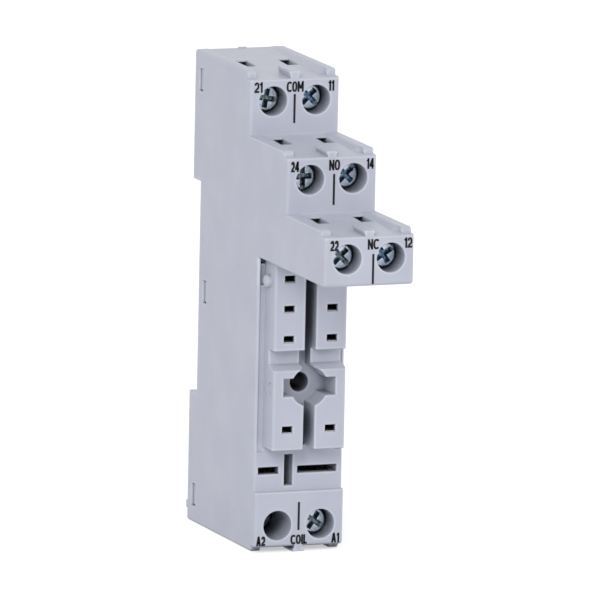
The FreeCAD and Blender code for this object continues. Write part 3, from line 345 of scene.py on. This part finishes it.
def satin_plastic(name, pale, deep, roughness=0.4, painted_highlight=0.9):
    """A plastic skin: melt clouds in the colour, pebble in the bump, rounded edges with a
    painted highlight, and painted shade in the depths."""
    material, tree = new_material(name)
    place = add_node(tree, "ShaderNodeTexCoord").outputs["Object"]
    clouds = add_node(tree, "ShaderNodeTexNoise",
                      {"Scale": 1 / MELT_FLOW, "Detail": 3.0, "Roughness": 0.55}, Vector=place)
    colour = add_node(tree, "ShaderNodeValToRGB", {"stops": [(0.35, deep), (0.65, pale)]},
                      Fac=clouds.outputs["Fac"])
    pebble = add_node(tree, "ShaderNodeTexNoise",
                      {"Scale": 1 / PEBBLE, "Detail": 2.0, "Roughness": 0.6}, Vector=place)
    gloss = add_node(tree, "ShaderNodeMapRange",
                     {"To Min": roughness + GLOSS_SPREAD[0],
                      "To Max": roughness + GLOSS_SPREAD[1]}, Value=pebble.outputs["Fac"])
    # Painted shade in the bores and slots.
    depth_shade = painted_shade_ramp(tree, SHADE_REACH, SHADE_OPEN_SHARE, SHADE_MOST, "SMOOTHSTEP")
    shaded = add_node(tree, "ShaderNodeMix", {"data_type": "RGBA", "B": linear(PAINTED_SHADE_COLOUR)},
                      Factor=depth_shade.outputs[0], A=colour.outputs[0])
    # Painted highlight on the edges, paler on the upright ones.
    edge = add_node(tree, "ShaderNodeBevel", {"samples": LOOKS, "Radius": EDGE_ROUND})
    highlight_amount = painted_edge_highlight(tree, edge.outputs[0], painted_highlight)
    highlighted = add_node(tree, "ShaderNodeMix", {"data_type": "RGBA", "B": linear(EDGE_HIGHLIGHT_COLOUR)},
                        Factor=highlight_amount.outputs[0], A=shaded.outputs["Result"])
    bump = add_node(tree, "ShaderNodeBump", {"Strength": 0.22, "Distance": PEBBLE_RELIEF},
                    Height=pebble.outputs["Fac"], Normal=edge.outputs[0])
    skin = add_node(tree, "ShaderNodeBsdfPrincipled", {"IOR": 1.53},
                    Base_Color=highlighted.outputs["Result"], Roughness=gloss.outputs[0],
                    Normal=bump.outputs[0])
    add_node(tree, "ShaderNodeOutputMaterial", Surface=skin.outputs[0])
    return material


HOUSING_GREY = ("#C0C2CE", "#BABDC9")
housing_skin = satin_plastic("glass_filled_polycarbonate_grey", *HOUSING_GREY)
cover_skin = satin_plastic("polycarbonate_grey_cover", "#BBBDC9", "#B5B8C4", 0.44)
clip_skin = satin_plastic("acetal_clip_grey", "#AEB3BF", "#A6ABB8", 0.38)
swell_skin = satin_plastic("glass_filled_polycarbonate_soft_rim", *HOUSING_GREY, painted_highlight=0.0)
print("plastics:", housing_skin.name, cover_skin.name, clip_skin.name, swell_skin.name)


# %% [markdown]
# ## Zinc-plated screws
#
# The terminal screws are cold-headed steel, barrel plated with zinc and passivated blue.
# The plating is bright but soft: the head's face shows faint rings from the heading die,
# small dents from tumbling in the barrel, and a bluish cast. The drive recess and a ring round
# the rim get painted shade in the film's colour, much darker than the face. That painted shade
# is the first recipe, and it follows the head's own shape.

# %% Painted shade in the recess and round the rim
# Painted shade in the film's colour, in the recess and round the rim:
RECESS_REACH = (1.72 * MM, 1.86 * MM)   # from the axis to the ends of the cross
RECESS_SHADE_AND_FILM = (0.9, 0.45)               # within that reach, and outside it
RECESS_DEPTH = (0.03 * MM, 0.4 * MM)    # behind the face
RIM_REACH = (2.02 * MM, 2.16 * MM)      # from the axis to the head's edge
RIM_SHADE_AND_FILM = 0.95


def head_shade_and_film(tree, centred):
    """Painted shade in the film's colour. The recess is where the distance r from the axis is
    small and the depth y behind the face is not, and the rim is where r is near the head's own
    radius: shade = larger of fall(r) * rise(y) and rim(r), each a straight ramp between two
    limits."""
    flat = add_node(tree, "ShaderNodeMapping", {"Scale": (1.0, 0.0, 1.0)}, Vector=centred)
    radius = add_node(tree, "ShaderNodeVectorMath", {"operation": "LENGTH"},
                      _0=flat.outputs[0])
    fall = add_node(tree, "ShaderNodeMapRange",
                    {"From Min": RECESS_REACH[0], "From Max": RECESS_REACH[1],
                     "To Min": RECESS_SHADE_AND_FILM[0], "To Max": RECESS_SHADE_AND_FILM[1]},
                    Value=radius.outputs["Value"])
    rim = add_node(tree, "ShaderNodeMapRange",
                   {"From Min": RIM_REACH[0], "From Max": RIM_REACH[1], "To Max": RIM_SHADE_AND_FILM},
                   Value=radius.outputs["Value"])
    depth = add_node(tree, "ShaderNodeSeparateXYZ", Vector=centred)
    rise = add_node(tree, "ShaderNodeMapRange",
                    {"From Min": RECESS_DEPTH[0], "From Max": RECESS_DEPTH[1]},
                    Value=depth.outputs["Y"])
    recess = add_node(tree, "ShaderNodeMath", {"operation": "MULTIPLY"},
                      _0=fall.outputs[0], _1=rise.outputs[0])
    return add_node(tree, "ShaderNodeMath", {"operation": "MAXIMUM"},
                    _0=recess.outputs[0], _1=rim.outputs[0])


# %% [markdown]
# ### The plating itself
#
# The film of passivation differs from one batch of screws to the next, from blue to olive,
# and shows most in the recess. A screw that is turned down to the bottom of its bore is out of
# the light: there hardly any open space is left round it, and the metal gets painted shade.
# Rings and recess belong to the screw, so each screw has its own copy of the finish, with the
# middle of its face as the pattern's origin.

# %% Zinc with die rings and dents
RING_PITCH = 0.5532 * MM        # the real rings are closer, too close to show
WAVE_PERIOD = math.tau / 20     # from ring to ring in a Wave Texture of scale 1
RING_RELIEF = 0.01 * MM
DENT = 0.5 * MM
DENT_RELIEF = 0.06 * MM
FACE = ("#9FB1C5", "#E2EAF3")
# The film's colours by batch, dark where they carry painted shade.
FILMS_IN_SHADE = {"blue": ("#274260", "#93B1CB"), "olive": ("#313F46", "#9CAAAB")}
# Painted shade over a head sunk deep in its bore:
BORE_DEPTH = 12.0 * MM
SUNK_SHARE = (0.08, 0.2)        # open share, from a sunk head to a free one
SUNK_SHADE_MOST = 0.9
SUNK_SHADE_COLOUR = "#20262C"


def zinc_plating(name, face_middle, film):
    """Rings and dents in the bump, dents in the colour and gloss, painted shade in the film's
    colour in the recess and round the rim, and over the rest of the face when the head is sunk."""
    material, tree = new_material(name)
    place = add_node(tree, "ShaderNodeTexCoord").outputs["Object"]
    centred = add_node(tree, "ShaderNodeMapping",
                       {"Location": [-value for value in face_middle]},
                       Vector=place).outputs[0]
    # Painted shade in the film's colour, in the recess and round the rim.
    shade_and_film = head_shade_and_film(tree, centred).outputs[0]
    rings = add_node(tree, "ShaderNodeTexWave",
                     {"wave_type": "RINGS", "rings_direction": "Y",
                      "Scale": WAVE_PERIOD / RING_PITCH, "Distortion": 0.6, "Detail": 1.0},
                     Vector=centred)
    dents = add_node(tree, "ShaderNodeTexNoise", {"Scale": 1 / DENT, "Detail": 4.0},
                     Vector=centred).outputs["Fac"]
    clean = add_node(tree, "ShaderNodeValToRGB",
                     {"stops": [(0.3, FACE[0]), (0.7, FACE[1])]}, Fac=dents)
    film_in_shade = add_node(tree, "ShaderNodeValToRGB",
                     {"stops": [(0.4, FILMS_IN_SHADE[film][0]), (0.68, FILMS_IN_SHADE[film][1])]}, Fac=dents)
    face_and_shade = add_node(tree, "ShaderNodeMix", {"data_type": "RGBA"}, Factor=shade_and_film,
                      A=clean.outputs[0], B=film_in_shade.outputs[0])
    # Painted shade over the face of a head sunk deep in its bore.
    sunk_shade = painted_shade_ramp(tree, BORE_DEPTH, SUNK_SHARE, 1.0)
    unshaded_face = add_node(tree, "ShaderNodeMapRange", {"To Min": SUNK_SHADE_MOST, "To Max": 0.0},
                    Value=shade_and_film)
    sunk_shade_amount = add_node(tree, "ShaderNodeMath", {"operation": "MULTIPLY"},
                     _0=sunk_shade.outputs[0], _1=unshaded_face.outputs[0])
    shadowed = add_node(tree, "ShaderNodeMix",
                        {"data_type": "RGBA", "B": linear(SUNK_SHADE_COLOUR)},
                        Factor=sunk_shade_amount.outputs[0], A=face_and_shade.outputs["Result"])
    gloss = add_node(tree, "ShaderNodeMapRange", {"To Min": 0.24, "To Max": 0.44}, Value=dents)
    fine = add_node(tree, "ShaderNodeBump", {"Strength": 0.25, "Distance": RING_RELIEF},
                    Height=rings.outputs["Fac"])
    bump = add_node(tree, "ShaderNodeBump", {"Strength": 0.5, "Distance": DENT_RELIEF},
                    Height=dents, Normal=fine.outputs[0])
    skin = add_node(tree, "ShaderNodeBsdfPrincipled", {"Metallic": 1.0},
                    Base_Color=shadowed.outputs["Result"], Roughness=gloss.outputs[0],
                    Normal=bump.outputs[0])
    add_node(tree, "ShaderNodeOutputMaterial", Surface=skin.outputs[0])
    return material


# %% [markdown]
# ## Clamps and contacts
#
# The clamp boxes and pressure plates are folded from steel strip and plated like the
# screws, with the drawn lines of the rolled sheet still in them. The contact strips are
# stamped from tinned brass, with fine rolling lines along their length. Both are seen only
# deep inside the housing, so their colours are darkened as painted shade: a dull grey for the
# steel, and a soft grey with a little of the brass's warmth for the strips.

# %% Rolled and plated sheet
ROLL_LINE = 0.12 * MM       # real lines are nearer 0.05 mm, too fine to show
ROLL_STRETCH = 0.04         # scale along a line, as a share of the scale across it
ROLL_RELIEF = 0.01 * MM


def rolled_metal(name, pale, deep, roughness=0.45):
    """Sheet metal: noise drawn out along Z into rolling lines."""
    material, tree = new_material(name)
    place = add_node(tree, "ShaderNodeTexCoord").outputs["Object"]
    drawn = add_node(tree, "ShaderNodeMapping", {"Scale": (1.0, 1.0, ROLL_STRETCH)},
                     Vector=place)
    lines = add_node(tree, "ShaderNodeTexNoise", {"Scale": 1 / ROLL_LINE, "Detail": 3.0},
                     Vector=drawn.outputs[0]).outputs["Fac"]
    colour = add_node(tree, "ShaderNodeValToRGB", {"stops": [(0.0, deep), (1.0, pale)]},
                      Fac=lines)
    bump = add_node(tree, "ShaderNodeBump", {"Strength": 0.2, "Distance": ROLL_RELIEF},
                    Height=lines)
    skin = add_node(tree, "ShaderNodeBsdfPrincipled", {"Metallic": 1.0, "Roughness": roughness},
                    Base_Color=colour.outputs[0], Normal=bump.outputs[0])
    add_node(tree, "ShaderNodeOutputMaterial", Surface=skin.outputs[0])
    return material


# Dark colours: painted shade for metals seen deep inside the housing.
clamp_steel = rolled_metal("zinc_plated_sheet_steel", "#7E848B", "#5A5F66")
strip_brass = rolled_metal("tinned_brass_strip", "#8F8978", "#676151")
print("sheet metals:", clamp_steel.name, "and", strip_brass.name)


# %% [markdown]
# ## Finishes on the nodes
#
# The record names a material slot for each node, and each slot gets its finish here. Only
# the screws differ one by one: each is plated round the middle of its own face, with the
# film of its batch.

# %% Give every node its finish
FINISHES = {
    "housing_plastic": housing_skin,
    "cover_plastic": cover_skin,
    "clip_plastic": clip_skin,
    "clamp_steel": clamp_steel,
    "strip_brass": strip_brass,
}
OLIVE_SCREWS = ("21", "22", "24", "a1")

slot_of = {item["node"]: item["material_slot"] for item in frame["record"]["subparts"]}
for name, node in frame["nodes"].items():
    if slot_of[name] == "screw_zinc":
        low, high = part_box(name)
        face_middle = [(low[0] + high[0]) / 2, low[1], (low[2] + high[2]) / 2]
        film = "olive" if name.endswith(OLIVE_SCREWS) else "blue"
        plating = name.replace("terminal_screw", film + "_zinc")
        finish = zinc_plating(plating, face_middle, film)
    else:
        finish = FINISHES[slot_of[name]]
    for place in node.material_slots:
        place.material = finish
print("finished nodes:", len(frame["nodes"]))


# %% [markdown]
# ## Soft rims
#
# The steel of a mould is rounded where it forms an inner corner, so the side rims swell
# out of the wire entry faces in a soft S instead of standing on them like a fence. Such a
# corner is a section carried along a straight path. All sections together are worked out
# as one grid of points, and the body is closed with its underside sunk in the housing.

# %% A closed body from a grid of sections
def moulding_piece(name, points, faces, material):
    """A mesh from points in millimetres, with the given material, riding the socket."""
    mesh = bpy.data.meshes.new(name)
    mesh.from_pydata((np.asarray(points) * MM).tolist(), [], faces)
    mesh.materials.append(material)
    piece = bpy.data.objects.new(name, mesh)
    bpy.context.scene.collection.objects.link(piece)
    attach(piece, "socket")
    return mesh


def closed_loft(name, sections, material):
    """Joins each section to the next with quads and caps both ends. sections holds
    stations x points x 3, and the faces are turned outwards afterwards."""
    stations, around = sections.shape[:2]
    index = np.arange(stations * around).reshape(stations, around)
    here, there = index[:-1], index[1:]
    quads = np.stack([here, np.roll(here, -1, 1), np.roll(there, -1, 1), there], axis=-1)
    faces = quads.reshape(-1, 4).tolist() + [index[0].tolist(), index[-1][::-1].tolist()]
    mesh = moulding_piece(name, sections.reshape(-1, 3), faces, material)
    shell = bmesh.new()
    shell.from_mesh(mesh)
    bmesh.ops.recalc_face_normals(shell, faces=shell.faces)
    shell.to_mesh(mesh)
    shell.free()


# %% [markdown]
# ### Swells
#
# Each tier has a rim on both sides. The places of the fronts, entry faces and rims repeat
# the housing's own sizes, in millimetres from the middle of the rail seat. A swell that
# began at its full width would show a step, so it grows out of the rim's front end.

# %% Rim swells
FRONTS = {"com": -22.2, "no": -39.7, "nc": -57.2, "coil": -28.0}
ENTRY_FACES = {                 # height at the front edge, rim crest, climb per mm, length
    "com": (38.0, 39.3, 0.82 / 17.5, 25.4), "no": (27.83, 28.83, 0.82 / 17.5, 17.5),
    "nc": (17.66, 18.66, 0.82 / 17.5, 17.5), "coil": (-38.65, -39.5, -0.6 / 17.5, 17.4),
}
RIM_INSIDE = 6.1            # from the middle plane to the rim
RIM_START = 2.2             # from the front plane to the rim's front end
SWELL = 1.15                # how far the swell comes out of the rim
START_SHARE = 0.1           # of that at the rim's front end
GROWTH = 2.0                # the length over which it grows
BACK = 0.3                  # how far the body goes into the rim
SKIN_SUNK, CREST_SUNK, FOOT_SUNK = 0.01, 0.05, 0.15
STATIONS, STEPS = 30, 13    # along the rim, and across the swell


def ease(s):
    """The soft S from 0 to 1: 3 s^2 - 2 s^3, level at both ends."""
    s = np.clip(s, 0, 1)
    return s * s * (3 - 2 * s)


def rim_swell(name, tier, side):
    """At each station, from the entry face (s = 0) to the rim's crest (s = 1):
    x = rim - width (1 - s), z = face + (crest - face) ease(s). The width grows from its
    start share by the same soft S. The other three corners lie inside the housing."""
    edge, crest, climb, length = ENTRY_FACES[tier]
    inward = math.copysign(1, edge)
    behind = np.linspace(RIM_START, length, STATIONS)[:, None]
    s = np.linspace(0, 1, STEPS)
    face = edge + climb * behind
    grown = START_SHARE + (1 - START_SHARE) * ease((behind - RIM_START) / GROWTH)
    width = SWELL * grown
    back = np.full_like(behind, RIM_INSIDE + BACK)
    foot = face - FOOT_SUNK * inward
    x = np.hstack([RIM_INSIDE - width * (1 - s), back, back, RIM_INSIDE - width])
    z = np.hstack([face + (crest - face) * ease(s) - SKIN_SUNK * inward,
                   np.full_like(behind, crest - CREST_SUNK * inward), foot, foot])
    y = np.broadcast_to(FRONTS[tier] + behind, x.shape)
    closed_loft(name, np.stack([side * x, y, z], axis=-1), swell_skin)


for tier in ENTRY_FACES:
    rim_swell("rim_swell_left_" + tier, tier, -1)
    rim_swell("rim_swell_right_" + tier, tier, 1)
print("soft rims:", 2 * len(ENTRY_FACES))


# %% [markdown]
# ## Printed terminal numbers
#
# Terminal numbers are pad printed: a silicone pad presses a film of black ink, about a
# hundredth of a millimetre thick, onto the moulding. They follow the common numbering of
# relay contacts, and each column pair has a thin line between its two screws. The ink
# lies a hair in front of the face, because a film exactly in the face would flicker.

# %% Ink
INK_GRAIN = 0.12 * MM       # so thin a film follows the real pebble under it

ink, tree = new_material("pad_printing_ink_black")
place = add_node(tree, "ShaderNodeTexCoord").outputs["Object"]
grain = add_node(tree, "ShaderNodeTexNoise", {"Scale": 1 / INK_GRAIN, "Detail": 2.0},
                 Vector=place)
colour = add_node(tree, "ShaderNodeValToRGB", {"stops": [(0.0, "#06070A"), (1.0, "#111217")]},
                  Fac=grain.outputs["Fac"])
skin = add_node(tree, "ShaderNodeBsdfPrincipled", {"Roughness": 0.6, "IOR": 1.4},
                Base_Color=colour.outputs[0])
add_node(tree, "ShaderNodeOutputMaterial", Surface=skin.outputs[0])
print("ink:", ink.name)


# %% [markdown]
# ### Letters from ribbons
#
# Such small marks are set in a bold, narrow alphabet of even strokes. Each character here
# is a few ribbons: lines and bows of one width, drawn in a box as wide as the character
# and as tall as a capital. A ribbon is its centre line pushed out by half the stroke to
# both sides, and at each bend along the mitre, so that the width stays the same.

# %% Ribbons and bows
STROKE = 0.34
HALF = STROKE / 2
LONGEST_MITRE = 1.6
BOW_POWER = 2 / 2.5


def ribbon(path, closed=False):
    """Left and right edges of the centre line. At a point with unit normals m and n before
    and after it, the mitre is (m + n) / (1 + m . n), held to a longest one at sharp bends."""
    path = np.asarray(path, dtype=float)
    count = len(path)
    following = np.roll(path, -1, axis=0) if closed else path[1:]
    legs = following - path[:len(following)]
    legs /= np.linalg.norm(legs, axis=1)[:, None]
    normals = np.column_stack([-legs[:, 1], legs[:, 0]])
    before = np.roll(normals, 1, axis=0) if closed else np.vstack([normals[:1], normals])
    after = normals if closed else np.vstack([normals, normals[-1:]])
    mitre = (before + after) / (1 + (before * after).sum(axis=1))[:, None]
    mitre *= np.minimum(1, LONGEST_MITRE / np.linalg.norm(mitre, axis=1))[:, None]
    index = np.arange(len(legs))
    next_index = (index + 1) % count
    faces = np.column_stack([index, next_index, next_index + count, index + count])
    return np.vstack([path + HALF * mitre, path - HALF * mitre]), faces


def bow(start, end, middle, reach, count=15):
    """Part of a rounded box: x = sgn(cos t) |cos t|^0.8, y = sgn(sin t) |sin t|^0.8."""
    t = np.radians(np.linspace(start, end, count))
    unit = np.column_stack([np.cos(t), np.sin(t)])
    return np.array(middle) + np.array(reach) * np.sign(unit) * np.abs(unit) ** BOW_POWER


# %% [markdown]
# ### Characters
#
# Ten characters are enough for all the numbers and words. Each is a list of centre lines,
# with its corners given as shares of the box or in half strokes from its sides.

# %% The characters
WIDTHS = {"1": 0.55, "2": 0.85, "4": 0.92, "A": 1.0, "C": 1.05, "I": 0.3, "L": 0.75,
          "M": 1.25, "N": 1.0, "O": 1.05}
MOUTH = 42                  # degrees from the middle of the C to each end of its bow
MOUTH_REACHES = 1.79        # the bow is 1 + (cos 42)^0.8 reaches wide
MOUTH_HALVES = 1.6          # and its stroke adds one half on the left and 0.6 at the ends


def character(name, w, t):
    """The centre lines of one character in a box w wide and t tall, in millimetres."""
    h = HALF
    round_reach = (w / 2 - h, t / 2 - h)
    open_reach = (w - MOUTH_HALVES * h) / MOUTH_REACHES
    stems = [[(h, 0), (h, t)], [(w - h, 0), (w - h, t)]]
    top = 0.29 * t
    shapes = {
        "1": [[(w - h, 0), (w - h, t)], [(h / 2, 0.72 * t), (w - h, t - 1.3 * h)]],
        "2": [np.vstack([bow(170, -25, (w / 2, t - h - top), (w / 2 - h, top)),
                         [(h, 2 * h)]]), [(0, h), (w, h)]],
        "4": [[(0.68 * w, 0), (0.68 * w, t)], [(0.66 * w, t - h), (0.8 * h, 0.34 * t)],
              [(0, 0.29 * t), (w, 0.29 * t)]],
        "A": [[(h, 0), (w / 2, t)], [(w - h, 0), (w / 2, t)],
              [(0.25 * w, 0.3 * t), (0.75 * w, 0.3 * t)]],
        "C": [bow(MOUTH, 360 - MOUTH, (h + open_reach, t / 2), (open_reach, t / 2 - h), 25)],
        "I": [[(w / 2, 0), (w / 2, t)]],
        "L": [[(h, 0), (h, t)], [(0, h), (w, h)]],
        "M": stems + [[(h, t - h), (w / 2, 0.3 * t)], [(w - h, t - h), (w / 2, 0.3 * t)]],
        "N": stems + [[(h, t - h), (w - h, h)]],
        "O": [bow(0, 345, (w / 2, t / 2), round_reach, 24)],
    }
    return shapes[name]


print("alphabet:", " ".join(WIDTHS))


# %% [markdown]
# ### Words
#
# A word is set to a given width. An I is one stroke wide and the gaps are fixed, so the
# other characters share what is left in proportion to their own widths.

# %% Set a word
LETTER_GAP = 0.03


def word_outline(text, width, height):
    """All the ribbons of a word, centred on its middle: the character's width is its share
    of width - gaps - narrow characters, and each starts where the one before it ends."""
    share = np.array([WIDTHS[name] for name in text])
    narrow = np.array([name == "I" for name in text])
    spare = width - LETTER_GAP * (len(text) - 1) - STROKE * narrow.sum()
    widths = np.where(narrow, STROKE, share * spare / share[~narrow].sum())
    starts = np.concatenate([[0], np.cumsum(widths + LETTER_GAP)[:-1]])
    points, faces, first = [], [], 0
    for name, start, wide in zip(text, starts, widths):
        for path in character(name, wide, height):
            edge, quads = ribbon(path, closed=name == "O")
            points.append(edge + (start - width / 2, -height / 2))
            faces.append(quads + first)
            first += len(edge)
    return np.vstack(points), np.vstack(faces)


# %% [markdown]
# ### Print
#
# The four fronts each carry their numbers beside the bores, the name of their contacts in
# the middle, and a line below or above it. The places are in millimetres.

# %% Print the words and lines on the four fronts
INK_THICKNESS = 0.015
WORDS = [                   # text, tier, middle across and upward, width
    ("21", "com", -6.36, 36.75, 1.45), ("COM", "com", 0.03, 36.68, 3.0),
    ("11", "com", 6.35, 36.62, 1.05), ("24", "no", -6.42, 26.47, 1.4),
    ("NO", "no", 0.44, 26.51, 1.92), ("14", "no", 6.66, 26.51, 1.25),
    ("22", "nc", -6.05, 16.36, 1.45), ("NC", "nc", 0.66, 16.36, 1.95),
    ("12", "nc", 6.7, 16.39, 1.45), ("A2", "coil", -6.62, -37.52, 1.6),
    ("COIL", "coil", 0.02, -37.5, 2.9), ("A1", "coil", 6.44, -37.52, 1.42),
]
CAPITALS = {"com": 1.76, "no": 1.76, "nc": 1.72, "coil": 1.6}
LINES = [                   # tier, place across, lower and upper end
    ("com", -0.02, 30.66, 35.46), ("no", 0.4, 19.93, 25.04),
    ("nc", 0.7, 9.85, 14.77), ("coil", -0.05, -35.95, -31.28),
]
LINE_WIDTH = 0.38


def print_ink(name, tier, flat, faces):
    """Stands the flat outline up: its x goes to X, its y to Z, and Y is in front of the
    tier by the thickness of the ink."""
    y = np.full(len(flat), FRONTS[tier] - INK_THICKNESS)
    moulding_piece(name, np.column_stack([flat[:, 0], y, flat[:, 1]]), faces.tolist(), ink)


for text, tier, across, upward, width in WORDS:
    flat, faces = word_outline(text, width, CAPITALS[tier])
    kind = "number_" if text[-1].isdigit() else "word_"
    print_ink(kind + text.lower(), tier, flat + (across, upward), faces)
for tier, across, low, high in LINES:
    x = across + LINE_WIDTH / 2 * np.array([-1, 1, 1, -1])
    print_ink("line_" + tier, tier, np.column_stack([x, [low, low, high, high]]),
              np.array([[0, 1, 2, 3]]))
print("printed:", len(WORDS), "words and", len(LINES), "lines")
